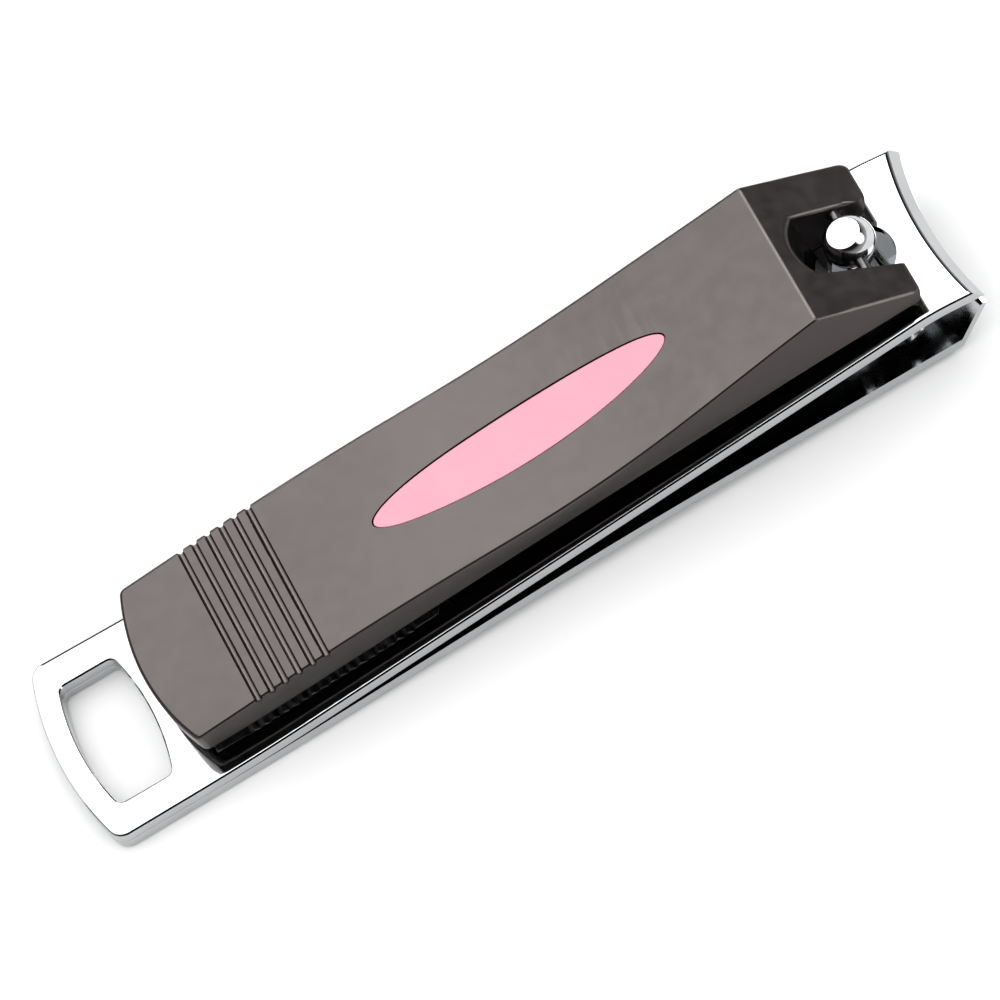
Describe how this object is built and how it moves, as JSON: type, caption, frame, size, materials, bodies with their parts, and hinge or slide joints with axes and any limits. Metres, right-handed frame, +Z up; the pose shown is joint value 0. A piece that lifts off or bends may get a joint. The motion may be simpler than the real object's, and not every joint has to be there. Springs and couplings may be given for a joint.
{
  "type": "nail clipper",
  "caption": "Folding nail clipper: two sprung steel arms with hollow-ground jaws, a swivelling ball-headed post and a die-cast lever with finger grooves and an oval inlay.",
  "frame": {"origin": "centre of the footprint, on the surface that the clipper rests on", "axes": "+X along the arms from the tail to the cutting edge, +Y across the width, +Z up from the lower arm to the lever"},
  "size_m": [0.0858, 0.0188, 0.0146],
  "materials": {
    "arm_chrome": "mirror-polished chrome plating",
    "rivet_steel": "plain bright steel",
    "post_chrome": "turned and chrome plated",
    "pin_steel": "ground steel",
    "gunmetal": "satin gunmetal plating",
    "pink_enamel": "smooth pink enamel",
    "file_steel": "cut steel file",
    "small_rivets": "plain steel"
  },
  "bodies": {
    "base": {"lower_arm": "arm_chrome", "tail_rivet": "rivet_steel"},
    "arm": {"upper_arm": "arm_chrome"},
    "post": {"pivot_post": "post_chrome"},
    "lever": {"lever_casing": "gunmetal", "cross_pin": "pin_steel", "oval_inlay": "pink_enamel", "nail_file": "file_steel", "file_rivets": "small_rivets"}
  },
  "joints": [
    {"name": "arm_flex", "type": "hinge", "parent": "base", "child": "arm", "pos_m": [-0.0307, 0, 0.00115], "axis": [0, 1, 0], "range_deg": [0, 0.72], "stiffness_Nm_per_rad": 5, "springref_deg": -1.15},
    {"name": "post_swivel", "type": "hinge", "parent": "base", "child": "post", "pos_m": [0.0357, 0, 0.00742], "axis": [-0.0802, 0, 0.9968], "continuous": true},
    {"name": "lever_tilt", "type": "hinge", "parent": "post", "child": "lever", "pos_m": [0.03544, 0, 0.01061], "axis": [0, 1, 0], "range_deg": [0, 148]}
  ]
}
